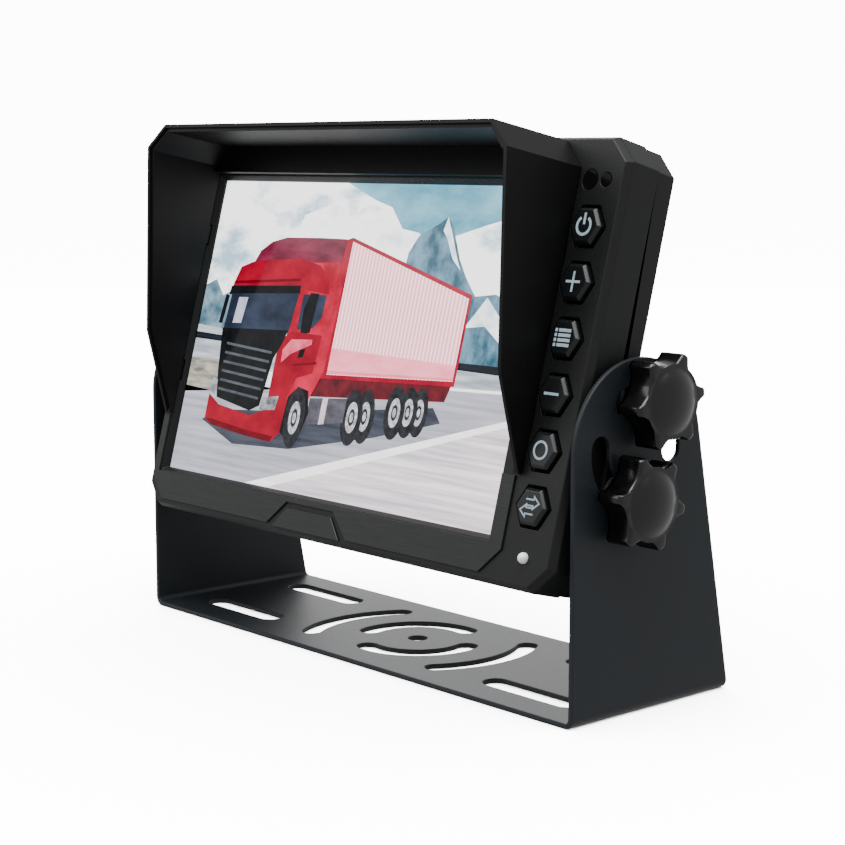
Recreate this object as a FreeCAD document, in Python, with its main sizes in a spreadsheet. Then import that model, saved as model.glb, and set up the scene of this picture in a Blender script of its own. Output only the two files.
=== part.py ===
"""Dash monitor of a reversing-camera kit: a hooded screen held between the ears of a steel U bracket.

Millimetres, +Z up. The row's origin is the centre of the bracket's base hole, on the underside.
The monitor is drawn upright about its pivot (X to the right, Y towards the back, Z up) and each
of its pieces is then tilted back about that pivot by its Placement.
"""
import FreeCAD, Part
import math
import os
import Sketcher

NEAR = 0.3            # gap kept between pieces that move past each other
ROOT_TWO = math.sqrt(2)
HEX_RISE = math.sqrt(3) / 2
LOBES = 6
KEYS = ("power", "plus", "menu", "minus", "select", "swap")
SIDES = {"right": 1, "left": -1}
LEVELS = {"upper": 1, "lower": -1}

SIZES = {
    # bracket: bent steel sheet
    "bracket_width": 190.0,
    "base_depth": 62.0,
    "sheet": 1.5,
    "bend_outer": 3.0,
    "pivot_height": 71.0,
    "pivot_setback": 23.0,
    "ear_round": 24.0,
    "ear_behind_pivot": 1.0,
    "arc_slot_round": 13.4,
    "arc_slot_width": 6.6,
    "arc_slot_low": -5.0,
    "arc_slot_high": 110.0,
    "mount_slot_length": 35.0,
    "mount_slot_width": 7.5,
    "mount_slots_across": 131.0,
    "mount_slots_along": 33.0,
    "ring_slot_round": 17.5,
    "ring_slot_width": 6.5,
    "ring_slot_start": 80.0,
    "ring_slot_end": 195.0,
    "side_slot_round": 34.0,
    "side_slot_width": 6.0,
    "side_slot_swing": 33.0,
    "centre_hole": 5.8,
    # case
    "tilt": 14.8,
    "case_half": 91.2,
    "case_top": 78.5,
    "case_bottom": -41.8,
    "case_chamfer": 6.6,
    "face_y": -19.2,
    "bevel_depth": 2.2,
    "bevel_width": 1.2,
    "seam_y": -7.1,
    "back_y": 0.6,
    "hump_y": 8.0,
    "hump_half": 82.0,
    "hump_top": 50.0,
    "hump_bottom": -33.0,
    "hump_chamfer": 9.0,
    "hump_slope": 3.0,
    "wall": 2.2,
    "face_wall": 2.5,
    "cover_inset": 0.4,
    # screen, seven inches across the corners
    "screen_left": -84.5,
    "screen_width": 150.8,
    "screen_bottom": -29.1,
    "screen_height": 94.2,
    "screen_recess": 1.9,
    "screen_bevel": 1.3,
    # trim on the face
    "trim_rise": 0.6,
    "trim_left": -89.0,
    "trim_right": 72.8,
    "trim_top": -12.5,
    "trim_bottom": -39.2,
    "trim_corner": 7.0,
    "notch_centre": -7.8,
    "notch_foot": 37.0,
    "notch_head": 21.8,
    "notch_top": -32.0,
    # keys
    "key_column": 81.0,
    "key_top": 54.1,
    "key_pitch": 14.8,
    "key_round": 5.6,
    "key_recess": 6.5,
    "key_proud": 1.4,
    "key_travel": 0.5,
    "led_z": -33.2,
    "led_round": 1.5,
    "sensor_x": 78.7,
    "sensor_round": 2.6,
    "receiver_x": 84.4,
    "receiver_round": 1.8,
    "window_z": 66.6,
    # sunshade
    "shade_left": -87.5,
    "shade_right": 75.0,
    "shade_top": 75.4,
    "shade_top_back": 77.0,
    "shade_chamfer": 7.2,
    "shade_wall": 2.2,
    "shade_reach": 47.0,
    "shade_foot": -12.0,
    "shade_knee_y": -34.0,
    "shade_knee_z": 12.2,
    "lip_width": 1.1,
    "lip_depth": 0.9,
    # knobs
    "knob_round": 12.9,
    "knob_waist": 9.3,
    "knob_scoop": 7.5,
    "knob_thick": 6.0,
    "knob_hub": 6.4,
    "knob_hub_length": 1.7,
    "knob_dome": 2.5,
    "knob_dome_round": 9.0,
    "stud_round": 2.45,
    "stud_bore": 2.5,
    "pad_face": 92.3,
}

document = FreeCAD.newDocument("backup_monitor")
sheet = document.addObject("Spreadsheet::Sheet", "Sizes")


class Length:
    """A size driven by the sheet: its value now, and the expression that gives it."""

    def __init__(self, value, text):
        self.value = value
        self.text = text

    def joined(self, sign, other, value, turned=False):
        pair = (wording(other), self.text) if turned else (self.text, wording(other))
        return Length(value, "(%s %s %s)" % (pair[0], sign, pair[1]))

    def __add__(self, other):
        return self.joined("+", other, self.value + number(other))

    def __radd__(self, other):
        return self.joined("+", other, number(other) + self.value, True)

    def __sub__(self, other):
        return self.joined("-", other, self.value - number(other))

    def __rsub__(self, other):
        return self.joined("-", other, number(other) - self.value, True)

    def __mul__(self, other):
        return self.joined("*", other, self.value * number(other))

    def __rmul__(self, other):
        return self.joined("*", other, number(other) * self.value, True)

    def __truediv__(self, other):
        return self.joined("/", other, self.value / number(other))

    def __neg__(self):
        return self * -1


def number(size):
    """The plain value of a size."""
    return size.value if isinstance(size, Length) else float(size)


def wording(size):
    """The expression of a size."""
    return size.text if isinstance(size, Length) else "(%.9g)" % size


def cosine(angle):
    return Length(math.cos(math.radians(number(angle))), "cos(%s * 1 deg)" % wording(angle))


def sine(angle):
    return Length(math.sin(math.radians(number(angle))), "sin(%s * 1 deg)" % wording(angle))


class Named:
    """The sheet's cells by their aliases."""

    def __getattr__(self, alias):
        return Length(SIZES[alias], "Sizes.%s" % alias)


s = Named()


def fill_sheet():
    """Write one row for each driving size: its name, and its value under an alias."""
    for row, (alias, value) in enumerate(SIZES.items(), start=1):
        sheet.set("A%d" % row, alias)
        sheet.set("B%d" % row, str(value))
        sheet.setAlias("B%d" % row, alias)
    document.recompute()


def bind(thing, name, size):
    """Drive one property of a document object from the sheet."""
    if isinstance(size, Length):
        thing.setExpression(name, size.text)
        return
    setattr(thing, name, size)


def place(thing, at, turn=None):
    """Put a primitive at a point, given as three sizes, and turn it."""
    base = FreeCAD.Vector(*[number(size) for size in at])
    thing.Placement = FreeCAD.Placement(base, turn or FreeCAD.Rotation())
    for axis, size in zip("xyz", at):
        if isinstance(size, Length):
            thing.setExpression("Placement.Base.%s" % axis, size.text)


def box(name, low, high):
    """A box from its lowest to its highest corner."""
    solid = document.addObject("Part::Box", name)
    for side, start, end in zip(("Length", "Width", "Height"), low, high):
        bind(solid, side, end - start)
    place(solid, low)
    return solid


TURNS = {
    "x": FreeCAD.Rotation(FreeCAD.Vector(0, 1, 0), 90),
    "y": FreeCAD.Rotation(FreeCAD.Vector(1, 0, 0), -90),
    "z": FreeCAD.Rotation(),
}


def cylinder(name, radius, start, length, axis="y"):
    """A cylinder from the point start, running along a positive axis."""
    solid = document.addObject("Part::Cylinder", name)
    bind(solid, "Radius", radius)
    bind(solid, "Height", length)
    place(solid, start, TURNS[axis])
    return solid


def fuse(name, solids):
    whole = document.addObject("Part::MultiFuse", name)
    whole.Shapes = solids
    return whole


def cut(name, base, tool):
    rest = document.addObject("Part::Cut", name)
    rest.Base = base
    rest.Tool = tool
    return rest


def common(name, base, tool):
    shared = document.addObject("Part::Common", name)
    shared.Base = base
    shared.Tool = tool
    return shared


def group(name, solids):
    """One node of several separate solids."""
    whole = document.addObject("Part::Compound", name)
    whole.Links = solids
    return whole


def slot_along_arc(name, centre, radius, width, start, end, low, high, axis):
    """A round-ended slot cutter that follows an arc about an X or a Z axis."""
    ring = []
    turn = FreeCAD.Rotation(FreeCAD.Vector(0, 0, 1), SLOT_ZERO[axis] + number(start))
    for part, size in (("outer", radius + width / 2), ("inner", radius - width / 2)):
        disc = cylinder("%s_%s" % (name, part), size, centre(low), high - low, axis)
        bind(disc, "Angle", end - start)
        place(disc, centre(low), TURNS[axis].multiply(turn))
        ring.append(disc)
    pieces = [cut(name + "_band", ring[0], ring[1])]
    for part, angle in (("start", start), ("end", end)):
        spot = list(centre(low))
        first, second = (1, 2) if axis == "x" else (0, 1)
        spot[first] = spot[first] + radius * cosine(angle)
        spot[second] = spot[second] + radius * sine(angle)
        pieces.append(cylinder("%s_%s" % (name, part), width / 2, spot, high - low, axis))
    return fuse(name, pieces)


# Angle from a turned cylinder's own zero to the slot's zero: along Y about X, along X about Z.
SLOT_ZERO = {"x": 90.0, "z": 0.0}

PLANES = {
    # plane: (role, sign of the sketch's normal along the depth axis)
    "front": ("XZ_Plane", -1),
    "side": ("YZ_Plane", 1),
    "top": ("XY_Plane", 1),
}


class Piece:
    """A PartDesign body, built up from sketches on its own origin planes."""

    def __init__(self, name):
        self.name = name
        self.body = document.addObject("PartDesign::Body", name)
        self.steps = 0

    def sketch(self, plane, depth, loops):
        """A sketch at a depth along its plane's axis, with every corner bound to the sheet."""
        self.steps += 1
        name = "%s_sketch_%d" % (self.name, self.steps)
        sketch = self.body.newObject("Sketcher::SketchObject", name)
        role, sign = PLANES[plane]
        features = self.body.Origin.OriginFeatures
        sketch.AttachmentSupport = [(next(f for f in features if f.Role == role), "")]
        sketch.MapMode = "FlatFace"
        offset = depth * sign
        sketch.AttachmentOffset = FreeCAD.Placement(
            FreeCAD.Vector(0, 0, number(offset)), FreeCAD.Rotation())
        if isinstance(offset, Length):
            sketch.setExpression("AttachmentOffset.Base.z", offset.text)
        for loop in loops:
            draw_loop(sketch, loop)
        return sketch

    def feature(self, kind, plane, start, end, loops):
        sketch = self.sketch(plane, start, loops)
        step = self.body.newObject("PartDesign::" + kind, "%s_%s_%d" % (self.name, kind, self.steps))
        step.Profile = sketch
        sketch.Visibility = False
        rising = number(end) > number(start)
        along = rising == (PLANES[plane][1] > 0)
        step.Reversed = (not along) if kind == "Pad" else along
        bind(step, "Length", end - start if rising else start - end)
        return step

    def pad(self, plane, start, end, loops):
        """Add material from one depth to another."""
        return self.feature("Pad", plane, start, end, loops)

    def pocket(self, plane, start, end, loops):
        """Remove material from one depth to another."""
        return self.feature("Pocket", plane, start, end, loops)

    def loft(self, kind, plane, first, second):
        """Join two loops, each a pair of depth and loop, by straight sides."""
        profile = self.sketch(plane, first[0], [first[1]])
        section = self.sketch(plane, second[0], [second[1]])
        step = self.body.newObject("PartDesign::" + kind, "%s_%s_%d" % (self.name, kind, self.steps))
        step.Profile = profile
        step.Sections = [section]
        step.Ruled = True
        return step


def draw_loop(sketch, loop):
    """Draw a circle ("circle", x, y, radius) or a polygon, a list of points."""
    if loop[0] == "circle":
        x, y, radius = loop[1:]
        centre = FreeCAD.Vector(number(x), number(y), 0)
        curve = sketch.addGeometry(Part.Circle(centre, FreeCAD.Vector(0, 0, 1), number(radius)))
        constrain(sketch, "DistanceX", (-1, 1, curve, 3), x)
        constrain(sketch, "DistanceY", (-1, 1, curve, 3), y)
        constrain(sketch, "Radius", (curve,), radius)
        return
    corners = [FreeCAD.Vector(number(x), number(y), 0) for x, y in loop]
    first = sketch.GeometryCount
    for start, end in zip(corners, corners[1:] + corners[:1]):
        sketch.addGeometry(Part.LineSegment(start, end))
    for place_in_loop in range(len(corners)):
        following = first + (place_in_loop + 1) % len(corners)
        sketch.addConstraint(Sketcher.Constraint("Coincident", first + place_in_loop, 2, following, 1))
    for edge, (x, y) in enumerate(loop, start=first):
        constrain(sketch, "DistanceX", (-1, 1, edge, 1), x)
        constrain(sketch, "DistanceY", (-1, 1, edge, 1), y)


def constrain(sketch, kind, where, size):
    """Add one dimension and bind it to the sheet."""
    index = sketch.addConstraint(Sketcher.Constraint(kind, *where, number(size)))
    if isinstance(size, Length):
        sketch.setExpression("Constraints[%d]" % index, size.text)


def rectangle(left, bottom, right, top):
    return [(left, bottom), (right, bottom), (right, top), (left, top)]


def octagon(left, bottom, right, top, corner):
    """A rectangle with its four corners cut at 45 degrees."""
    return [(left + corner, bottom), (right - corner, bottom), (right, bottom + corner),
            (right, top - corner), (right - corner, top), (left + corner, top),
            (left, top - corner), (left, bottom + corner)]


def hexagon(x, y, radius):
    """A regular hexagon with a corner to the left and to the right."""
    half = radius / 2
    rise = radius * HEX_RISE
    return [(x + radius, y), (x + half, y + rise), (x - half, y + rise),
            (x - radius, y), (x - half, y - rise), (x + half, y - rise)]


def case_outline(inset):
    """The case's outline, drawn in evenly."""
    corner = s.case_chamfer - inset * (2 - ROOT_TWO)
    return octagon(-s.case_half + inset, s.case_bottom + inset, s.case_half - inset,
                   s.case_top - inset, corner)


def hump_outline(inset):
    """The outline of the raised part of the back."""
    corner = s.hump_chamfer - inset * (2 - ROOT_TWO)
    return octagon(-s.hump_half + inset, s.hump_bottom + inset, s.hump_half - inset,
                   s.hump_top - inset, corner)


def screen_outline(margin):
    """The picture area with a margin round it."""
    return rectangle(s.screen_left - margin, s.screen_bottom - margin,
                     s.screen_left + s.screen_width + margin,
                     s.screen_bottom + s.screen_height + margin)


# ---------------------------------------------------------------- where things are

fill_sheet()
pivot_y = s.pivot_setback - s.base_depth / 2
plate_out = s.bracket_width / 2
plate_in = plate_out - s.sheet
knob_seat = plate_out + NEAR + 1.0 + NEAR
WASHER = 1.0
STUD_TIP = -14.6         # a stud's inner end, from its knob's seat
STUD_LENGTH = 19.4
key_rows = [s.key_top - s.key_pitch * row for row in range(len(KEYS))]
screw_spots = [(x, z) for x in (-60.0, 0.0, 60.0) for z in (s.case_top - 5.0, s.case_bottom + 5.0)]
board_low = (-26.0, -24.0)
board_high = (66.0, 42.0)
board_spots = [(x, z) for x in (-22.0, 62.0) for z in (-20.0, 38.0)]
BOARD_Y = (-6.2, -4.6)
KEY_BOARD_Y = (-11.6, -10.0)
FLOOR_Y = 5.6            # inside of the raised back
SPEAKER = (-52.0, 22.0)
GROMMET = (-52.0, -19.0)
tilt_turn = FreeCAD.Rotation(FreeCAD.Vector(-1, 0, 0), number(s.tilt))
pivot = FreeCAD.Vector(0, number(pivot_y), number(s.pivot_height))
tilted = FreeCAD.Placement(pivot, tilt_turn)
nodes = []


def fixed_node(thing, label):
    """Register a piece that stands in the row's frame."""
    thing.Label = label
    nodes.append(thing)


def monitor_node(thing, label, own=None):
    """Register a piece drawn in the monitor's frame, tilt it, and bind it to the pivot."""
    if own is None and thing.TypeId in ("Part::Box", "Part::Cylinder"):
        thing.Label = label + "_core"
        thing = group(label + "_piece", [thing])
    thing.Label = label
    own = own or FreeCAD.Placement()
    thing.Placement = tilted.multiply(own)
    if own.isIdentity():
        thing.setExpression("Placement.Base.y", pivot_y.text)
        thing.setExpression("Placement.Base.z", s.pivot_height.text)
        thing.setExpression("Placement.Rotation.Axis.x", "-1")
        thing.setExpression("Placement.Rotation.Angle", s.tilt.text)
    nodes.append(thing)


# ---------------------------------------------------------------- bracket

def ear_tangent():
    """The angle by which the ear's rear edge leans, from the base corner to the ear's round."""
    across = number(s.base_depth / 2 - pivot_y - s.ear_behind_pivot)
    up = number(s.pivot_height)
    reach = math.hypot(across, up)
    return math.degrees(math.atan2(across, up) - math.asin(number(s.ear_round) / reach))


def round_bends(blank, name, height, radius):
    """Round the two long edges of the U at one height."""
    document.recompute()
    base = blank.body.Tip
    edges = ["Edge%d" % index for index, edge in enumerate(base.Shape.Edges, start=1)
             if edge.BoundBox.YLength > 1.0 and abs(edge.CenterOfMass.z - number(height)) < 0.01
             and abs(edge.CenterOfMass.x) > number(plate_in) - 0.01]
    rounding = blank.body.newObject("PartDesign::Fillet", name)
    rounding.Base = (base, edges)
    bind(rounding, "Radius", radius)


def make_bracket():
    half = s.bracket_width / 2
    top = s.pivot_height + s.ear_round
    blank = Piece("bracket_blank")
    blank.pad("front", s.base_depth / 2, -s.base_depth / 2, [[
        (-half, 0), (half, 0), (half, top), (half - s.sheet, top), (half - s.sheet, s.sheet),
        (-half + s.sheet, s.sheet), (-half + s.sheet, top), (-half, top)]])
    round_bends(blank, "inner_bends", s.sheet, s.bend_outer - s.sheet)
    round_bends(blank, "outer_bends", 0.0, s.bend_outer)
    lean = ear_tangent()
    round_y = pivot_y + s.ear_behind_pivot
    outline = Piece("ear_outline")
    outline.pad("side", -half, half, [[
        (-s.base_depth / 2, 0), (s.base_depth / 2, 0),
        (round_y + s.ear_round * math.cos(math.radians(lean)),
         s.pivot_height + s.ear_round * math.sin(math.radians(lean))),
        (round_y, s.pivot_height), (-s.base_depth / 2, s.pivot_height)]])
    ear = cylinder("ear_round", s.ear_round, (-half, round_y, s.pivot_height), s.bracket_width, "x")
    bent = common("bracket_bent", blank.body, fuse("ear_shape", [outline.body, ear]))
    cutters = base_cutters() + ear_cutters()
    fixed_node(cut("u_bracket", bent, fuse("bracket_holes", cutters)), "u_bracket")


def base_cutters():
    """Cutters for the base: four straight slots, two ring slots, two side slots and a hole."""
    low = -1.0
    high = number(s.sheet) + 1.0
    cutters = [cylinder("centre_hole", s.centre_hole / 2, (0, 0, low), high - low, "z")]
    reach = (s.mount_slot_length - s.mount_slot_width) / 2
    for x_sign in (-1, 1):
        for y_sign in (-1, 1):
            name = "mount_slot_%d%d" % (x_sign + 1, y_sign + 1)
            x = s.mount_slots_across / 2 * x_sign
            y = s.mount_slots_along / 2 * y_sign
            half = s.mount_slot_width / 2
            cutters.append(fuse(name, [
                box(name + "_run", (x - reach, y - half, low), (x + reach, y + half, high)),
                cylinder(name + "_first", half, (x - reach, y, low), high - low, "z"),
                cylinder(name + "_last", half, (x + reach, y, low), high - low, "z")]))
    for turn in (0.0, 180.0):
        cutters.append(slot_along_arc(
            "ring_slot_%d" % turn, lambda z: (0.0, 0.0, z), s.ring_slot_round, s.ring_slot_width,
            s.ring_slot_start + turn, s.ring_slot_end + turn, low, high, "z"))
        cutters.append(slot_along_arc(
            "side_slot_%d" % turn, lambda z: (0.0, 0.0, z), s.side_slot_round, s.side_slot_width,
            turn - s.side_slot_swing, turn + s.side_slot_swing, low, high, "z"))
    return cutters


def ear_cutters():
    """Cutters for the two arc slots of each ear, in which the knob studs travel."""
    cutters = []
    for side, sign in SIDES.items():
        middle = number(plate_out) * sign
        low = min(middle, middle - sign * number(s.sheet)) - 1.0
        for turn in (0.0, 180.0):
            cutters.append(slot_along_arc(
                "arc_slot_%s_%d" % (side, turn), lambda x: (x, pivot_y, s.pivot_height),
                s.arc_slot_round, s.arc_slot_width, s.arc_slot_low + turn, s.arc_slot_high + turn,
                low, low + number(s.sheet) + 2.0, "x"))
    return cutters


# ---------------------------------------------------------------- case

def make_front_bezel():
    bezel = Piece("front_bezel")
    wall_y = s.face_y + s.face_wall
    bezel.pad("front", s.seam_y, s.face_y + s.bevel_depth, [case_outline(0)])
    bezel.loft("AdditiveLoft", "front", (s.face_y + s.bevel_depth, case_outline(0)),
               (s.face_y, case_outline(s.bevel_width)))
    bezel.pocket("front", s.seam_y, wall_y, [case_outline(s.wall)])
    glass_y = s.face_y + s.screen_recess
    bezel.loft("SubtractiveLoft", "front", (s.face_y, screen_outline(s.screen_bevel)),
               (glass_y, screen_outline(0)))
    bezel.pocket("front", glass_y, wall_y, [screen_outline(0)])
    openings = [hexagon(s.key_column, z, s.key_round + 0.35) for z in key_rows]
    openings += [("circle", s.key_column, s.led_z, s.led_round + 0.05),
                 ("circle", s.sensor_x, s.window_z, s.sensor_round + 0.05),
                 ("circle", s.receiver_x, s.window_z, s.receiver_round + 0.05)]
    bezel.pocket("front", s.face_y, wall_y, openings)
    bezel.pocket("front", s.face_y, s.face_y + 1.0,
                 [hexagon(s.key_column, z, s.key_recess) for z in key_rows])
    bezel.pocket("front", s.face_y, s.face_y + 2.1, [tab_outline(x, z, NEAR) for x, z in tab_spots()])
    bezel.pad("front", wall_y, s.seam_y, [("circle", x, z, 2.5) for x, z in screw_spots])
    bezel.pocket("front", s.seam_y, wall_y + 0.8, [("circle", x, z, 1.25) for x, z in screw_spots])
    bezel.pocket("front", s.seam_y, s.seam_y - 1.0, [case_outline(0.6), case_outline(1.6)])
    monitor_node(bezel.body, "front_bezel")


def make_case_seal():
    seal = Piece("case_seal")
    seal.pad("front", s.seam_y, s.seam_y - 0.95, [case_outline(0.65), case_outline(1.55)])
    monitor_node(seal.body, "case_seal")


def make_rear_cover():
    cover = Piece("rear_cover")
    inner_y = s.back_y - s.wall
    cover.pad("front", s.seam_y, s.back_y - 1.2, [case_outline(s.cover_inset)])
    cover.loft("AdditiveLoft", "front", (s.back_y - 1.2, case_outline(s.cover_inset)),
               (s.back_y, case_outline(s.cover_inset + 1.2)))
    cover.pocket("front", s.seam_y, inner_y, [case_outline(s.cover_inset + s.wall)])
    cover.loft("AdditiveLoft", "front", (s.back_y - 1.0, hump_outline(0)),
               (s.hump_y, hump_outline(s.hump_slope)))
    cover.pocket("front", inner_y - 0.1, FLOOR_Y, [hump_outline(s.hump_slope + s.wall)])
    for sign in SIDES.values():
        pad_z = s.arc_slot_round + 8.0
        cover.pad("side", s.hump_half * sign - 2.0 * sign, s.pad_face * sign,
                  [octagon(s.seam_y + 0.3, -pad_z, 6.8, pad_z, 3.0)])
    spots = [("circle", 0.0, s.arc_slot_round * level, 3.6) for level in LEVELS.values()]
    tips = [("circle", 0.0, s.arc_slot_round * level, 2.9) for level in LEVELS.values()]
    for sign in SIDES.values():
        cover.pocket("side", s.pad_face * sign, (s.pad_face - 9.0) * sign, spots)
        cover.pocket("side", (s.pad_face - 9.0) * sign, (s.pad_face - 11.5) * sign, tips)
    cover.pad("front", inner_y, s.seam_y, [("circle", x, z, 2.9) for x, z in screw_spots])
    cover.pocket("front", s.back_y, s.seam_y, [("circle", x, z, 1.5) for x, z in screw_spots])
    cover.pocket("front", s.back_y, s.back_y - 1.2, [("circle", x, z, 2.6) for x, z in screw_spots])
    cover.pad("front", FLOOR_Y, BOARD_Y[1], [("circle", x, z, 2.8) for x, z in board_spots])
    cover.pocket("front", BOARD_Y[1], 3.0, [("circle", x, z, 1.3) for x, z in board_spots])
    cover.pad("front", FLOOR_Y, 2.4, [("circle", *SPEAKER, 20.0), ("circle", *SPEAKER, 18.4)])
    cover.pocket("front", s.hump_y, FLOOR_Y, speaker_holes() + vent_slots()
                 + [("circle", *GROMMET, 6.0)])
    monitor_node(cover.body, "rear_cover")


def speaker_holes():
    """Rings of small round holes in front of the speaker's cone."""
    holes = [("circle", *SPEAKER, 1.1)]
    for ring in (1, 2, 3):
        for step in range(6 * ring):
            angle = 2 * math.pi * step / (6 * ring)
            radius = 4.0 * ring
            holes.append(("circle", SPEAKER[0] + radius * math.cos(angle),
                          SPEAKER[1] + radius * math.sin(angle), 1.1))
    return holes


def vent_slots():
    """Two columns of level cooling slots over the board."""
    slots = []
    for left in (-8.0, 26.0):
        for row in range(9):
            low = -14.0 + 6.0 * row
            slots.append(rectangle(left, low, left + 28.0, low + 2.2))
    return slots


def make_trim():
    """The brushed strip below the screen and the plain raised plate in its notch."""
    back = s.face_y
    front = s.face_y - s.trim_rise
    inner = s.screen_bevel + 0.3
    left = s.screen_left - inner
    right = s.screen_left + s.screen_width + inner
    low = s.screen_bottom - inner
    foot = s.notch_foot / 2
    head = s.notch_head / 2
    strip = Piece("brushed_trim")
    strip.pad("front", back, front, [[
        (s.trim_left, s.trim_top), (s.trim_left, s.trim_bottom + s.trim_corner),
        (s.trim_left + s.trim_corner, s.trim_bottom), (s.notch_centre - foot, s.trim_bottom),
        (s.notch_centre - head, s.notch_top), (s.notch_centre + head, s.notch_top),
        (s.notch_centre + foot, s.trim_bottom), (s.trim_right - s.trim_corner, s.trim_bottom),
        (s.trim_right, s.trim_bottom + s.trim_corner), (s.trim_right, s.trim_top),
        (right, s.trim_top), (right, low), (left, low), (left, s.trim_top)]])
    monitor_node(strip.body, "brushed_trim")
    badge = Piece("badge_plate")
    gap = 1.6
    badge.pad("front", back, front, [[
        (s.notch_centre - foot + gap * 1.8, s.trim_bottom - 0.6),
        (s.notch_centre - head + 0.6, s.notch_top - gap),
        (s.notch_centre + head - 0.6, s.notch_top - gap),
        (s.notch_centre + foot - gap * 1.8, s.trim_bottom - 0.6)]])
    monitor_node(badge.body, "badge_plate")


# ---------------------------------------------------------------- screen and electronics

def frame_box(name, front, back, margin):
    """A box behind the picture area, larger than it by a margin all round."""
    return box(name, (s.screen_left - margin, front, s.screen_bottom - margin),
               (s.screen_left + s.screen_width + margin, back,
                s.screen_bottom + s.screen_height + margin))


def make_screen():
    front = s.face_y + s.face_wall
    glass = frame_box("screen_glass", front + 0.05, front + 1.15, 3.0)
    monitor_node(glass, "screen_glass")
    panel = frame_box("lcd_panel", front + 1.25, front + 3.4, 3.3)
    monitor_node(panel, "lcd_panel")
    light = frame_box("backlight_unit", front + 3.5, front + 6.6, 3.3)
    monitor_node(light, "backlight_unit")
    tray = cut("lcd_frame", frame_box("lcd_frame_out", front + 1.3, front + 7.2, 3.9),
               frame_box("lcd_frame_in", front + 1.2, front + 6.7, 3.4))
    monitor_node(tray, "lcd_frame")


def make_main_board():
    front, back = BOARD_Y
    low_x, low_z = board_low
    high_x, high_z = board_high
    holes = [cylinder("board_hole_%d" % i, 1.7, (x, front - 1, z), 4.0)
             for i, (x, z) in enumerate(board_spots)]
    blank = box("board_blank", (low_x, front, low_z), (high_x, back, high_z))
    monitor_node(cut("main_board", blank, fuse("board_holes", holes)), "main_board")
    parts = [box("shield_can", (2.0, back, -4.0), (30.0, back + 3.2, 22.0)),
             box("lcd_socket", (4.0, front - 1.8, -21.0), (38.0, front, -17.0)),
             box("power_socket", (-24.0, back, -12.0), (-16.0, back + 5.6, 4.0)),
             box("power_coil", (40.0, back, -12.0), (52.0, back + 5.0, 0.0)),
             box("video_chip", (38.0, back, 10.0), (54.0, back + 1.4, 26.0))]
    for i, z in enumerate((10.0, 22.0)):
        parts.append(cylinder("capacitor_%d" % i, 4.0, (-14.0 + 0.0, back, z), 7.6))
    monitor_node(group("board_components", parts), "board_components")
    screws = [fuse("board_screw_%d" % i, [cylinder("board_head_%d" % i, 2.6, (x, front - 1.5, z), 1.5),
                                          cylinder("board_shank_%d" % i, 1.25, (x, front, z), 7.0)])
              for i, (x, z) in enumerate(board_spots)]
    monitor_node(group("board_screws", screws), "board_screws")


def make_ribbons():
    """The display's flex tail and the key board's flat cable, each a thin bent strip."""
    front = number(s.face_y + s.face_wall) + 7.2
    thin = 0.3
    socket = BOARD_Y[0] - 1.8
    tail = Piece("lcd_ribbon")
    tail.pad("side", 8.0, 34.0, [[
        (front, -30.0), (front, -10.0), (front + thin, -10.0), (front + thin, -19.0 - thin),
        (socket, -19.0 - thin), (socket, -19.0 - 2 * thin), (front + thin, -19.0 - 2 * thin),
        (front + thin, -30.0)]])
    monitor_node(tail.body, "lcd_ribbon")
    cable = Piece("key_cable")
    back = KEY_BOARD_Y[1]
    cable.pad("top", -6.0, 8.0, [[
        (70.5, back + 0.02), (84.0, back + 0.02), (84.0, back + thin), (72.0 + thin, back + thin),
        (72.0 + thin, BOARD_Y[0] - 0.02), (58.0, BOARD_Y[0] - 0.02), (58.0, BOARD_Y[0] - thin),
        (72.0, BOARD_Y[0] - thin), (72.0, back + thin), (70.5, back + thin)]])
    monitor_node(cable.body, "key_cable")


def make_key_board():
    front, back = KEY_BOARD_Y
    board = box("key_board", (73.4, front, -35.6), (87.0, back, 70.0))
    monitor_node(board, "key_board")
    body_y = front - 2.6
    tip_y = s.face_y + s.face_wall + 1.1 + s.key_travel + NEAR
    switches = []
    for i, z in enumerate(key_rows):
        case = box("switch_case_%d" % i, (s.key_column - 3.0, body_y, z - 3.0),
                   (s.key_column + 3.0, front, z + 3.0))
        tip = cylinder("switch_tip_%d" % i, 1.7, (s.key_column, tip_y, z), body_y - tip_y)
        switches.append(fuse("switch_%d" % i, [case, tip]))
    monitor_node(group("tact_switches", switches), "tact_switches")


def make_windows():
    """Round windows over the light sensor and the remote-control receiver, and what is behind."""
    depth = s.face_wall + 0.1
    start = s.face_y - 0.05
    monitor_node(cylinder("sensor_window", s.sensor_round, (s.sensor_x, start, s.window_z), depth),
                 "sensor_window")
    monitor_node(cylinder("receiver_window", s.receiver_round,
                          (s.receiver_x, start, s.window_z), depth), "receiver_window")
    front = KEY_BOARD_Y[0]
    monitor_node(box("light_sensor", (s.sensor_x - 1.8, front - 1.4, s.window_z - 1.8),
                     (s.sensor_x + 1.8, front, s.window_z + 1.8)), "light_sensor")
    monitor_node(box("remote_receiver", (s.receiver_x - 2.3, front - 3.4, s.window_z - 2.8),
                     (s.receiver_x + 2.3, front, s.window_z + 2.8)), "remote_receiver")
    stem_y = s.face_y - 0.1
    stem = cylinder("led_stem", s.led_round, (s.key_column, stem_y, s.led_z), front - stem_y)
    rim = cylinder("led_rim", s.led_round + 0.4, (s.key_column, front - 1.2, s.led_z), 1.2)
    dome = document.addObject("Part::Sphere", "led_dome")
    bind(dome, "Radius", s.led_round)
    place(dome, (s.key_column, stem_y, s.led_z))
    monitor_node(fuse("status_led", [stem, rim, dome]), "status_led")


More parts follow.
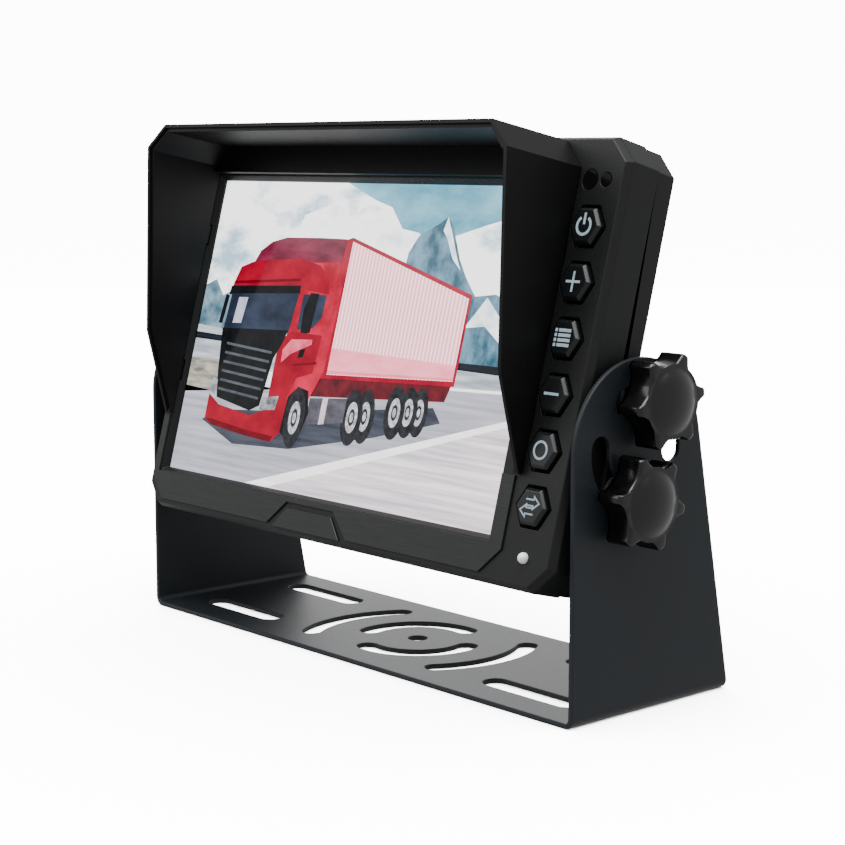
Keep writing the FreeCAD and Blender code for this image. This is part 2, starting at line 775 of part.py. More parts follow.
def make_speaker():
    basket = cylinder("speaker_basket", 18.0, (SPEAKER[0], 2.5, SPEAKER[1]), 3.0)
    waist = document.addObject("Part::Cone", "speaker_waist")
    waist.Radius1 = 10.0
    waist.Radius2 = 16.0
    waist.Height = 3.0
    place(waist, (SPEAKER[0], -0.5, SPEAKER[1]), TURNS["y"])
    magnet = cylinder("speaker_magnet", 10.0, (SPEAKER[0], -4.5, SPEAKER[1]), 4.0)
    monitor_node(fuse("speaker", [basket, waist, magnet]), "speaker")


def make_grommet():
    """The rubber boot that the power and camera lead comes out of."""
    x, z = GROMMET
    flange = cylinder("grommet_flange", 8.0, (x, FLOOR_Y - 1.6, z), 1.6)
    neck = cylinder("grommet_neck", 5.95, (x, FLOOR_Y - 0.1, z), number(s.hump_y) - FLOOR_Y + 0.2)
    collar = cylinder("grommet_collar", 8.0, (x, s.hump_y, z), 1.8)
    boot = document.addObject("Part::Cone", "grommet_boot")
    boot.Radius1 = 6.2
    boot.Radius2 = 4.4
    boot.Height = 9.0
    place(boot, (x, number(s.hump_y) + 1.8, z), TURNS["y"])
    bore = cylinder("grommet_bore", 2.75, (x, 0.0, z), 30.0)
    ribs = [cylinder("grommet_rib_%d" % i, 6.0 - 0.35 * i, (x, number(s.hump_y) + 3.2 + 2.2 * i, z), 1.0)
            for i in range(3)]
    whole = fuse("grommet_solid", [flange, neck, collar, boot] + ribs)
    monitor_node(cut("cable_grommet", whole, bore), "cable_grommet")


def make_case_screws():
    screws = []
    seat = s.back_y - 1.2
    for i, (x, z) in enumerate(screw_spots):
        head = cylinder("case_head_%d" % i, 2.4, (x, seat, z), 0.9)
        shank = cylinder("case_shank_%d" % i, 1.2, (x, seat - 13.5, z), 13.5)
        cross = fuse("case_cross_%d" % i, [
            box("case_cross_x_%d" % i, (x - 1.4, seat + 0.35, z - 0.35), (x + 1.4, seat + 1.5, z + 0.35)),
            box("case_cross_z_%d" % i, (x - 0.35, seat + 0.35, z - 1.4), (x + 0.35, seat + 1.5, z + 1.4))])
        screws.append(cut("case_screw_%d" % i, fuse("case_pin_%d" % i, [head, shank]), cross))
    monitor_node(group("case_screws", screws), "case_screws")


# ---------------------------------------------------------------- what moves on the monitor

def make_key(name, z):
    """One key: a hexagonal cap with a bevelled front and a flange behind the bezel's wall."""
    wall_y = s.face_y + s.face_wall
    key = Piece("key_" + name)
    front = s.face_y - s.key_proud
    shoulder = front + 0.8
    key.pad("front", wall_y + 1.1, wall_y + NEAR, [hexagon(s.key_column, z, s.key_round + 0.9)])
    key.pad("front", wall_y + NEAR, shoulder, [hexagon(s.key_column, z, s.key_round)])
    key.loft("AdditiveLoft", "front", (shoulder, hexagon(s.key_column, z, s.key_round)),
             (front, hexagon(s.key_column, z, s.key_round - 0.9)))
    monitor_node(key.body, "key_" + name)


def tab_spots():
    """Where the sunshade's locating tabs enter the face: between keys, and the same on the left."""
    rows = [(key_rows[0] + key_rows[1]) / 2, (key_rows[3] + key_rows[4]) / 2]
    columns = (s.shade_left + s.shade_wall / 2, s.shade_right - s.shade_wall / 2)
    return [(x, z) for x in columns for z in rows]


def tab_outline(x, z, margin):
    return rectangle(x - 0.7 - margin, z - 3.0 - margin, x + 0.7 + margin, z + 3.0 + margin)


def hood_section(top):
    """The sunshade's section: two sides and a top with cut corners, of even thickness."""
    corner = s.shade_chamfer
    wall = s.shade_wall
    inner = corner - wall * (2 - ROOT_TWO)
    left, right, foot = s.shade_left, s.shade_right, s.shade_foot
    return [(left, foot), (left, top - corner), (left + corner, top), (right - corner, top),
            (right, top - corner), (right, foot), (right - wall, foot),
            (right - wall, top - wall - inner), (right - wall - inner, top - wall),
            (left + wall + inner, top - wall), (left + wall, top - wall - inner),
            (left + wall, foot)]


def make_sunshade():
    back = s.face_y - NEAR
    hood = Piece("sunshade")
    hood.loft("AdditiveLoft", "front", (back, hood_section(s.shade_top_back)),
              (-s.shade_reach, hood_section(s.shade_top)))
    ahead = -s.shade_reach - 5.0
    brow = s.shade_top - s.shade_chamfer
    hood.pocket("side", -100.0, 100.0, [[
        (s.face_y - 1.6, s.shade_foot - 2.0), (s.face_y - 1.6, s.shade_foot),
        (s.shade_knee_y, s.shade_knee_z), (-s.shade_reach, brow), (ahead, brow),
        (ahead, s.shade_foot - 2.0)]])
    step_y = -s.shade_reach + s.lip_depth
    near = s.shade_left + s.lip_width
    far = s.shade_right - s.lip_width
    crown = s.shade_top + (s.shade_top_back - s.shade_top) * s.lip_depth / 28.0 - s.lip_width
    cut_corner = s.shade_chamfer - s.lip_width * (2 - ROOT_TWO)
    hood.pocket("front", ahead, step_y, [[
        (near, s.shade_foot - 1.0), (far, s.shade_foot - 1.0), (far, crown - cut_corner),
        (far - cut_corner, crown), (near + cut_corner, crown), (near, crown - cut_corner)]])
    shift = s.lip_depth
    hood.pocket("side", near, far, [[
        (s.face_y - 1.6, s.shade_foot - 2.0), (s.face_y - 1.6, s.shade_foot + shift * 2),
        (s.shade_knee_y + shift, s.shade_knee_z + shift * 0.6), (step_y, brow), (ahead, brow),
        (ahead, s.shade_foot - 2.0)]])
    edge = s.screen_bevel + 0.4
    low = s.screen_bottom + s.screen_height + edge
    reach = s.shade_wall * 0.6
    top = s.shade_top_back - reach
    corner = s.shade_chamfer
    hood.pad("front", back, back - 2.2, [[
        (s.shade_left + reach, low), (s.shade_left + reach, top - corner),
        (s.shade_left + reach + corner, top), (s.shade_right - reach - corner, top),
        (s.shade_right - reach, top - corner), (s.shade_right - reach, low)]])
    hood.pad("front", back - 0.5, s.face_y + 1.8, [tab_outline(x, z, 0) for x, z in tab_spots()])
    monitor_node(hood.body, "sunshade")


def knob_place(side, level):
    """Where a knob's seat lies: outside the ear, on the arc slot's circle."""
    own = FreeCAD.Vector(number(knob_seat) * SIDES[side], 0, number(s.arc_slot_round) * LEVELS[level])
    return FreeCAD.Placement(own, FreeCAD.Rotation(FreeCAD.Vector(0, 0, 1), 0 if side == "right" else 180))


def make_knob(side, level, turn):
    """A star knob along +X from its seat, with scooped sides and a domed crown."""
    name = "knob_%s_%s" % (side, level)
    face = s.knob_hub_length + s.knob_thick
    hub = cylinder(name + "_hub", s.knob_hub, (0, 0, 0), s.knob_hub_length + 0.5, "x")
    disc = cylinder(name + "_disc", s.knob_round, (s.knob_hub_length, 0, 0), s.knob_thick, "x")
    scoops = []
    reach = s.knob_waist + s.knob_scoop
    for lobe in range(LOBES):
        angle = turn + 360.0 / LOBES * (lobe + 0.5)
        spot = (0.0, reach * math.cos(math.radians(angle)), reach * math.sin(math.radians(angle)))
        scoops.append(cylinder("%s_scoop_%d" % (name, lobe), s.knob_scoop, spot, 20.0, "x"))
    star = cut(name + "_star", disc, fuse(name + "_scoops", scoops))
    ball = document.addObject("Part::Sphere", name + "_ball")
    ball_round = (s.knob_dome_round * s.knob_dome_round + s.knob_dome * s.knob_dome) / (s.knob_dome * 2)
    bind(ball, "Radius", ball_round)
    place(ball, (face + s.knob_dome - ball_round, 0, 0))
    crown = common(name + "_crown", ball,
                   cylinder(name + "_crown_size", s.knob_dome_round, (face - 0.5, 0, 0), 4.0, "x"))
    bore = cylinder(name + "_bore", s.stud_bore, (-1.0, 0, 0), 6.0, "x")
    knob = cut(name, fuse(name + "_solid", [hub, star, crown]), bore)
    own = knob_place(side, level)
    monitor_node(knob, name, own)
    name = "stud_%s_%s" % (side, level)
    rod = cylinder(name + "_rod", s.stud_round, (STUD_TIP, 0, 0), STUD_LENGTH, "x")
    monitor_node(group(name, [rod]), name, own)


def make_rings():
    """Inserts, friction pads and washers: one of each for every knob."""
    kinds = (("knob_inserts", 3.55, s.stud_bore, s.pad_face - 9.0, s.pad_face),
             ("friction_pads", 6.8, 2.9, s.pad_face, plate_in - NEAR),
             ("knob_washers", 6.6, 2.75, plate_out + NEAR, plate_out + NEAR + WASHER))
    for label, outer, inner, start, end in kinds:
        rings = []
        for side, sign in SIDES.items():
            for level, rise in LEVELS.items():
                name = "%s_%s_%s" % (label, side, level)
                low = start if sign > 0 else -end
                spot = (low, 0.0, s.arc_slot_round * rise)
                solid = cylinder(name + "_out", outer, spot, end - start, "x")
                hole = cylinder(name + "_in", inner, (low - 1.0, 0.0, spot[2]), end - start + 2.0, "x")
                rings.append(cut(name, solid, hole))
        monitor_node(group(label, rings), label)


# ---------------------------------------------------------------- build, test, write

make_bracket()
make_front_bezel()
make_case_seal()
make_rear_cover()
make_trim()
make_screen()
make_main_board()
make_ribbons()
make_key_board()
make_windows()
make_speaker()
make_grommet()
make_case_screws()
make_sunshade()
make_rings()
for key_name, key_z in zip(KEYS, key_rows):
    make_key(key_name, key_z)
for knob_side in SIDES:
    make_knob(knob_side, "upper", 20.0)
    make_knob(knob_side, "lower", 0.0)

document.recompute()
faults = [thing.Name for thing in document.Objects if {"Invalid", "Error"} & set(thing.State)]
if faults:
    raise RuntimeError("failed objects: %s" % ", ".join(faults))
for node in nodes:
    spin = node.Placement.Rotation.multVec(FreeCAD.Vector(0, 0, 1))
    if node.Label != "u_bracket" and spin.y < 0.2:
        raise RuntimeError("not tilted back: %s" % node.Label)
    if node.Shape.isNull() or not node.Shape.isValid() or not node.Shape.Solids:
        raise RuntimeError("bad shape: %s" % node.Label)
os.makedirs("parts", exist_ok=True)
for node in nodes:
    node.Shape.exportStep("parts/%s.step" % node.Label)
    solids = node.Shape.Solids
    print("%-20s %2d solids %10.1f mm3" % (node.Label, len(solids), node.Shape.Volume))
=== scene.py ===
"""Looks of a seven inch rear-view monitor with its sunshade, keys, star knobs and steel bracket."""

import logging
import math
from collections.abc import Iterable, Sequence
from dataclasses import dataclass, field
from enum import Enum

import bpy
from mathutils import Matrix, Vector


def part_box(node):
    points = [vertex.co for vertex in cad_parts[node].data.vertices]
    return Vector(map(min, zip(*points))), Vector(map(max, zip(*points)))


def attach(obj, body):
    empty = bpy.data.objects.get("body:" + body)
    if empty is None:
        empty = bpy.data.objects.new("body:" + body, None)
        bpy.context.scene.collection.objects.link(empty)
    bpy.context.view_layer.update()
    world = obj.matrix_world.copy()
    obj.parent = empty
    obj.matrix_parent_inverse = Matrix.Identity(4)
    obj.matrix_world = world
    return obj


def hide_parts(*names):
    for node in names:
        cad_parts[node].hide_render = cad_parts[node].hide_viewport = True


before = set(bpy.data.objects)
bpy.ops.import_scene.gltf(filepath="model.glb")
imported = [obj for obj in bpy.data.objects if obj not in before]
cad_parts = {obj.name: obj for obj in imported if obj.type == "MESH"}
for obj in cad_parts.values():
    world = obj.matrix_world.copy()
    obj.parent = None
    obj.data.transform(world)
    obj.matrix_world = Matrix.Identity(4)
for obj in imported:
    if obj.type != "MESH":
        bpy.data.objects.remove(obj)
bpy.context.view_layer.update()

log = logging.getLogger("monitor")

MM = 0.001
Point = tuple[float, float]
Lamp = tuple[str, tuple[float, float, float], float, float]  # name, place in m, side in m, watts
Colour = tuple[float, float, float, float]


class Side(Enum):
    """The two cheeks of the bracket; the value is the sign of x on that side."""

    RIGHT = 1
    LEFT = -1


class Level(Enum):
    """The two knobs on a cheek, one over the other; the value is the sign of the height above the pivot."""

    UPPER = 1
    LOWER = -1


class Symbol(Enum):
    """What is printed on each key, by the key's own name."""

    POWER = "power"
    PLUS = "plus"
    MENU = "menu"
    MINUS = "minus"
    SELECT = "select"
    SWAP = "swap"


def linear(code: str) -> Colour:
    """Turns a colour written in sRGB hex into the linear one that a shader takes.

    Args:
        code: Six hex digits with a leading #.

    Returns:
        Red, green, blue and full alpha.
    """
    channels = [int(code[i:i + 2], 16) / 255 for i in (1, 3, 5)]
    r, g, b = (c / 12.92 if c <= 0.04045 else ((c + 0.055) / 1.055) ** 2.4 for c in channels)
    return r, g, b, 1.0


def add_node(tree: bpy.types.NodeTree, kind: str, settings: dict | None = None,
             links: dict | None = None) -> bpy.types.Node:
    """Adds one shader node with its settings and the links into it.

    Args:
        tree: The node tree that gets the node.
        kind: The node's type name.
        settings: Attribute or input name, or input number, to value.
        links: Input name or number to the socket that feeds it.

    Returns:
        The new node.
    """
    node = tree.nodes.new(kind)
    for key, value in (settings or {}).items():
        if isinstance(key, int) or key in node.inputs:
            node.inputs[key].default_value = value
        else:
            setattr(node, key, value)
    for key, socket in (links or {}).items():
        tree.links.new(socket, node.inputs[key])
    return node


def set_ramp(ramp: bpy.types.Node, stops: Sequence[tuple[float, Colour]]) -> None:
    """Puts two or more colours on a ramp.

    Args:
        ramp: A colour ramp node.
        stops: Position from 0 to 1 and colour, in order.
    """
    elements = ramp.color_ramp.elements
    while len(elements) < len(stops):
        elements.new(0.5)
    for element, (place, colour) in zip(elements, stops):
        element.position = place
        element.color = colour


@dataclass(frozen=True)
class Finish:
    """A surface with a fine grain: two close colours, a roughness that wanders, and a shallow bump.

    The grain is in mm, and the relief is the bump's height in mm.
    """

    name: str
    dark: str
    light: str
    roughness: float = 0.5
    wander: float = 0.08
    metallic: float = 0.0
    ior: float = 1.5
    specular: float = 0.5
    grain: float = 0.4
    relief: float = 0.02

    def pattern(self, tree: bpy.types.NodeTree) -> bpy.types.NodeSocket:
        """The grain, from 0 to 1 over the surface.

        Args:
            tree: The node tree it is made in.

        Returns:
            The socket that carries it.
        """
        place = add_node(tree, "ShaderNodeTexCoord")
        noise = add_node(tree, "ShaderNodeTexNoise", {"Scale": 1 / (self.grain * MM), "Detail": 3.0},
                         {"Vector": place.outputs["Object"]})
        return noise.outputs["Fac"]

    def shader(self, tree: bpy.types.NodeTree) -> bpy.types.Node:
        """The surface's own shader, fed by the pattern.

        Args:
            tree: The node tree it is made in.

        Returns:
            The shader node.
        """
        grain = self.pattern(tree)
        tone = add_node(tree, "ShaderNodeValToRGB", None, {"Fac": grain})
        set_ramp(tone, [(0.3, linear(self.dark)), (0.7, linear(self.light))])
        gloss = add_node(tree, "ShaderNodeMapRange",
                         {"To Min": self.roughness - self.wander, "To Max": self.roughness + self.wander},
                         {"Value": grain})
        bump = add_node(tree, "ShaderNodeBump", {"Strength": 0.5, "Distance": self.relief * MM},
                        {"Height": grain})
        return add_node(tree, "ShaderNodeBsdfPrincipled",
                        {"Metallic": self.metallic, "IOR": 1.5 if self.metallic else self.ior,
                         "Specular IOR Level": self.specular},
                        {"Base Color": tone.outputs["Color"], "Roughness": gloss.outputs["Result"],
                         "Normal": bump.outputs["Normal"]})

    def material(self) -> bpy.types.Material:
        """The material, made once and then shared.

        Returns:
            The Blender material with this finish's name.
        """
        made = bpy.data.materials.get(self.name)
        if made is None:
            made = bpy.data.materials.new(self.name)
            made.use_nodes = True
            tree = made.node_tree
            tree.nodes.clear()
            add_node(tree, "ShaderNodeOutputMaterial", None, {"Surface": self.shader(tree).outputs[0]})
        return made


@dataclass(frozen=True)
class Brushed(Finish):
    """A film or metal brushed along x: the grain is the spacing of the lines, the run their length in mm."""

    run: float = 9.0

    def pattern(self, tree: bpy.types.NodeTree) -> bpy.types.NodeSocket:
        """Long thin streaks along x.

        Args:
            tree: The node tree it is made in.

        Returns:
            The socket that carries them.
        """
        place = add_node(tree, "ShaderNodeTexCoord")
        across = 1 / (self.grain * MM)
        stretch = add_node(tree, "ShaderNodeMapping", {"Scale": (1 / (self.run * MM), across, across)},
                           {"Vector": place.outputs["Object"]})
        noise = add_node(tree, "ShaderNodeTexNoise", {"Scale": 1.0, "Detail": 4.0, "Roughness": 0.65},
                         {"Vector": stretch.outputs["Vector"]})
        return noise.outputs["Fac"]


@dataclass(frozen=True)
class Lit(Finish):
    """One tone of the lit picture on the panel, with its own light; the blots are wide and high in mm."""

    blot: Point = (6.0, 6.0)
    low: float = 0.35
    high: float = 0.65
    glow: float = 1.0
    ribs: float = 0.0

    def pattern(self, tree: bpy.types.NodeTree) -> bpy.types.NodeSocket:
        """Soft blots, or upright ribs where a rib width is given.

        Args:
            tree: The node tree it is made in.

        Returns:
            The socket that carries the pattern.
        """
        place = add_node(tree, "ShaderNodeTexCoord")
        if self.ribs:
            wave = add_node(tree, "ShaderNodeTexWave",
                            {"bands_direction": "X", "Scale": math.pi / (10 * self.ribs * MM)},
                            {"Vector": place.outputs["Object"]})
            return wave.outputs["Fac"]
        wide, high = self.blot
        stretch = add_node(tree, "ShaderNodeMapping",
                           {"Scale": (1 / (wide * MM), 1 / (high * MM), 1 / (high * MM))},
                           {"Vector": place.outputs["Object"]})
        noise = add_node(tree, "ShaderNodeTexNoise", {"Scale": 1.0, "Detail": 7.0, "Roughness": 0.58},
                         {"Vector": stretch.outputs["Vector"]})
        return noise.outputs["Fac"]

    def shader(self, tree: bpy.types.NodeTree) -> bpy.types.Node:
        """A glossy black surface that gives out the picture's colour.

        Args:
            tree: The node tree it is made in.

        Returns:
            The shader node.
        """
        tone = add_node(tree, "ShaderNodeValToRGB", None, {"Fac": self.pattern(tree)})
        set_ramp(tone, [(self.low, linear(self.dark)), (self.high, linear(self.light))])
        return add_node(tree, "ShaderNodeBsdfPrincipled",
                        {"Base Color": linear("#050505"), "Roughness": self.roughness,
                         "Specular IOR Level": self.specular, "Emission Strength": self.glow},
                        {"Emission Color": tone.outputs["Color"]})


# Polyester powder coat on mild steel, baked: satin blue-black with a fine orange-peel grain.
POWDER = Finish("polyester_powder_coat", "#0f1316", "#151a1f", 0.5, 0.06, specular=0.26, grain=0.45, relief=0.03)
# Injection moulded ABS from a spark-eroded tool: matte charcoal, even fine grain.
ABS = Finish("moulded_abs", "#0b0c0c", "#101111", 0.48, 0.06, specular=0.22, grain=0.5, relief=0.03)
# The same ABS in a smoother tool: a deeper black that still shows long soft reflections.
HOOD_ABS = Finish("smooth_moulded_abs", "#060606", "#090909", 0.5, 0.05, specular=0.14, grain=0.6, relief=0.02)
# Brushed polycarbonate film: fine level streaks that catch the light.
FILM = Brushed("brushed_film", "#0e100f", "#1c1f1e", 0.42, 0.12, specular=0.28, grain=0.28, relief=0.05)
# Silicone rubber key caps with a hard satin lacquer.
KEY = Finish("lacquered_key_cap", "#0a0c0d", "#0f1112", 0.34, 0.05, specular=0.3, grain=0.5, relief=0.015)
# Screen-printed ink, pale blue under the key's back light.
INK = Lit("back_lit_ink", "#a9c6d6", "#cfe2ec", 0.5, blot=(1.0, 1.0), glow=0.75)
# Phenolic resin pressed in a polished mould: glossy black with bright soft edges.
PHENOLIC = Finish("polished_phenolic", "#030303", "#060606", 0.2, 0.03, specular=0.4, grain=1.2, relief=0.012)
# Zinc-plated steel: pale blue-grey metal.
ZINC = Finish("zinc_plated_steel", "#9aa0a6", "#b9bec2", 0.34, 0.08, 1.0, grain=0.8, relief=0.01)
# Black-oxide screws: dark metal with an oily sheen.
OXIDE = Finish("black_oxide_steel", "#2a2b2d", "#3a3b3d", 0.42, 0.08, 1.0, grain=0.4, relief=0.01)
# Free-cutting brass, turned.
BRASS = Finish("turned_brass", "#b08d45", "#caa75c", 0.3, 0.06, 1.0, grain=0.3, relief=0.01)
# Moulded EPDM rubber: very matte, faintly dusty black.
RUBBER = Finish("moulded_rubber", "#111111", "#191919", 0.75, 0.06, grain=0.6, relief=0.03)
# Polished cover glass over the black matrix of the panel.
GLASS = Finish("polished_cover_glass", "#040405", "#060607", 0.06, 0.01, ior=1.52, grain=20.0, relief=0.0)
# Tinted acrylic that passes infrared: near black with a hard gloss.
ACRYLIC = Finish("tinted_acrylic", "#060608", "#0a0a0d", 0.12, 0.02, ior=1.49, grain=4.0, relief=0.004)
# Diffusing epoxy of a lamp that is off: milky white.
EPOXY = Finish("milky_epoxy", "#c9cdcd", "#e6e9e8", 0.25, 0.04, grain=1.5, relief=0.006)
# Glass-fibre board under green solder resist, with its weave.
BOARD = Finish("solder_resist_board", "#0f4a2c", "#17613a", 0.4, 0.06, grain=0.7, relief=0.02)
# Moulded chip packages: matte black epoxy.
CHIP = Finish("chip_epoxy", "#1a1a1a", "#262626", 0.6, 0.08, grain=0.3, relief=0.01)
# Rolled stainless sheet of the panel's frame.
SHEET = Brushed("rolled_stainless_sheet", "#9c9ea0", "#c2c4c5", 0.32, 0.1, 1.0, grain=0.3, relief=0.01)
# White diffuser of the back light.
DIFFUSER = Finish("opal_diffuser", "#dcdcd6", "#f0f0ec", 0.5, 0.05, grain=0.8, relief=0.005)
# Polyimide flex: amber, glossy.
FLEX = Finish("polyimide_flex", "#9c5a1c", "#b87028", 0.3, 0.06, grain=0.9, relief=0.005)
# Matte studio paper: an even pale floor.
PAPER = Finish("studio_paper", "#f4f4f4", "#f7f7f7", 0.9, 0.03, grain=3.0, relief=0.0)

DRESSED: dict[str, Finish] = {
    "case_seal": RUBBER, "screen_glass": GLASS, "lcd_panel": GLASS, "backlight_unit": DIFFUSER,
    "lcd_frame": SHEET, "main_board": BOARD, "key_board": BOARD, "board_components": CHIP,
    "tact_switches": CHIP, "board_screws": ZINC, "lcd_ribbon": FLEX, "key_cable": FLEX,
    "sensor_window": ACRYLIC, "receiver_window": ACRYLIC, "light_sensor": CHIP, "remote_receiver": CHIP,
    "status_led": EPOXY, "speaker": SHEET, "case_screws": OXIDE, "knob_inserts": BRASS,
    "friction_pads": RUBBER, "knob_washers": ZINC, "stud_right_upper": ZINC, "stud_right_lower": ZINC,
    "stud_left_upper": ZINC, "stud_left_lower": ZINC,
}


def deselect() -> None:
    """Leaves nothing selected and no object in edit mode."""
    if bpy.context.object and bpy.context.object.mode != "OBJECT":
        bpy.ops.object.mode_set(mode="OBJECT")
    bpy.ops.object.select_all(action="DESELECT")


def pick(*things: bpy.types.Object) -> None:
    """Selects these objects only, and makes the first the active one.

    Args:
        things: The objects to select.
    """
    deselect()
    for thing in things:
        thing.select_set(True)
    bpy.context.view_layer.objects.active = things[0]


def settle(thing: bpy.types.Object, place: Matrix | None = None) -> None:
    """Writes an object's place into its mesh, so that the object sits unturned at the origin.

    Args:
        thing: The object.
        place: Where it goes first, in metres.
    """
    pick(thing)
    if place is not None:
        thing.matrix_world = place @ thing.matrix_world
    bpy.ops.object.transform_apply(location=True, rotation=True, scale=True)


def use(thing: bpy.types.Object, kind: str, **settings: object) -> None:
    """Gives an object one modifier and applies it.

    Args:
        thing: The object.
        kind: The modifier's type.
        settings: The modifier's own settings.
    """
    pick(thing)
    modifier = thing.modifiers.new(kind.lower(), kind)
    for key, value in settings.items():
        setattr(modifier, key, value)
    bpy.ops.object.modifier_apply(modifier=modifier.name)


def join(things: Sequence[bpy.types.Object], name: str) -> bpy.types.Object:
    """Joins objects into one.

    Args:
        things: The objects, the first of which stays.
        name: The name of the joined one.

    Returns:
        The joined object.
    """
    pick(*things)
    if len(things) > 1:
        bpy.ops.object.join()
    things[0].name = name
    return things[0]


def sheet(name: str, corners: Sequence[Point]) -> bpy.types.Object:
    """A flat plate in the x-y plane, facing +z.

    Args:
        name: The object's name.
        corners: Its corners in mm, anticlockwise.

    Returns:
        The plate.
    """
    deselect()
    bpy.ops.mesh.primitive_circle_add(vertices=len(corners), radius=MM, fill_type="NGON")
    plate = bpy.context.object
    plate.name = name
    for vertex, (x, y) in zip(plate.data.vertices, corners):
        vertex.co = (x * MM, y * MM, 0)
    return plate


def ribbon(name: str, path: Sequence[Point], width: float) -> bpy.types.Object:
    """A flat stroke of even width along a path in the x-y plane, with mitred corners.

    Args:
        name: The object's name.
        path: The points of its middle line in mm.
        width: Its width in mm.

    Returns:
        The stroke, facing +z.
    """
    deselect()
    bpy.ops.mesh.primitive_grid_add(x_subdivisions=len(path) - 1, y_subdivisions=1, size=MM)
    stroke = bpy.context.object
    stroke.name = name
    points = [Vector(p) for p in path]
    closed = (points[0] - points[-1]).length < 1e-6
    for i, point in enumerate(points):
        before = points[i - 1] if i else (points[-2] if closed else None)
        after = points[i + 1] if i + 1 < len(points) else (points[1] if closed else None)
        ways = [(b - a).normalized() for a, b in ((before, point), (point, after)) if a and b]
        along = sum(ways, Vector((0, 0))).normalized()
        side = Vector((-along.y, along.x)) * (width / 2 / max(0.3, along.dot(ways[0])))
        for row, corner in enumerate((point - side, point + side)):
            stroke.data.vertices[row * len(points) + i].co = (corner.x * MM, corner.y * MM, 0)
    return stroke


def arc(radius: float, start: float, stop: float, steps: int = 28, middle: Point = (0.0, 0.0)) -> list[Point]:
    """Points along an arc.

    Args:
        radius: In mm.
        start: First angle in degrees from +x.
        stop: Last angle.
        steps: How many pieces it has.
        middle: Its centre in mm.

    Returns:
        The points, both ends included.
    """
    turns = [math.radians(start + (stop - start) * i / steps) for i in range(steps + 1)]
    return [(middle[0] + radius * math.cos(t), middle[1] + radius * math.sin(t)) for t in turns]


@dataclass(frozen=True)
class Rest:
    """Where the monitor hangs: its pivot in mm and how far it leans back in degrees."""

    pivot: tuple[float, float, float] = (0.0, -8.0, 71.0)
    lean: float = 14.8

    def front(self, across: float, depth: float, up: float) -> Matrix:
        """The place of something flat on the monitor's front.

        Args:
            across: From the pivot to the right, in mm.
            depth: Behind the pivot, in mm; the front is negative.
            up: Above the pivot along the leaning screen, in mm.

        Returns:
            A matrix that takes a plate in the x-y plane there, with +z out of the front.
        """
        return (Matrix.Translation(Vector(self.pivot) * MM)
                @ Matrix.Rotation(math.radians(-self.lean), 4, "X")
                @ Matrix.Translation(Vector((across, depth, up)) * MM)
                @ Matrix.Rotation(math.radians(90), 4, "X"))


@dataclass
class Moulding:
    """A CAD node shown as a finished copy of itself, with the small round edges a real one has.

    Lengths are in mm and angles in degrees: corners closer than merge become one, faces within flat of
    each other become one, edges over sharp are rounded and edges over crease stay crisp.
    """

    node: str
    name: str
    body: str
    slot: str
    finish: Finish
    edge: float = 0.3
    steps: int = 2
    sharp: float = 28.0
    clamped: bool = False
    merge: float = 0.002
    flat: float = 0.4
    crease: float = 24.0
    weight: int = 100

    def build(self) -> bpy.types.Object:
        """Copies the node, merges its triangles, rounds its edges and dresses it.

        Returns:
            The finished piece.
        """
        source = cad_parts[self.node]
        piece = source.copy()
        piece.data = source.data.copy()
        piece.name = self.name
        for key in list(piece.keys()):
            del piece[key]
        piece.parent = None
        bpy.context.scene.collection.objects.link(piece)
        pick(piece)
        bpy.ops.object.mode_set(mode="EDIT")
        bpy.ops.mesh.select_all(action="SELECT")
        bpy.ops.mesh.remove_doubles(threshold=self.merge * MM)
        bpy.ops.mesh.dissolve_limited(angle_limit=math.radians(self.flat))
        bpy.ops.object.mode_set(mode="OBJECT")
        if self.edge:
            use(piece, "BEVEL", width=self.edge * MM, segments=self.steps, limit_method="ANGLE",
                angle_limit=math.radians(self.sharp), use_clamp_overlap=self.clamped)
        pick(piece)
        bpy.ops.object.shade_smooth_by_angle(angle=math.radians(self.crease))
        use(piece, "WEIGHTED_NORMAL", keep_sharp=True, weight=self.weight)
        piece.data.materials.clear()
        piece.data.materials.append(self.finish.material())
        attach(piece, self.body)
        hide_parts(self.node)
        log.info("%s: %d faces", self.name, len(piece.data.polygons))
        return piece


@dataclass
class Case:
    """The monitor's housing: front, back, brushed trim and badge, cable boot."""

    mouldings: list[Moulding] = field(default_factory=lambda: [
        Moulding("front_bezel", "bezel_moulding", "monitor", "case_plastic", ABS, 0.3),
        Moulding("rear_cover", "cover_moulding", "monitor", "case_plastic", ABS, 0.25),
        Moulding("brushed_trim", "trim_film", "monitor", "brushed_black", FILM, 0.12, 1),
        Moulding("badge_plate", "badge_film", "monitor", "brushed_black", FILM, 0.12, 1),
        Moulding("cable_grommet", "grommet_moulding", "monitor", "rubber_black", RUBBER, 0.25),
    ])

    def build(self) -> None:
        """Makes every moulding of the case."""
        for moulding in self.mouldings:
            moulding.build()


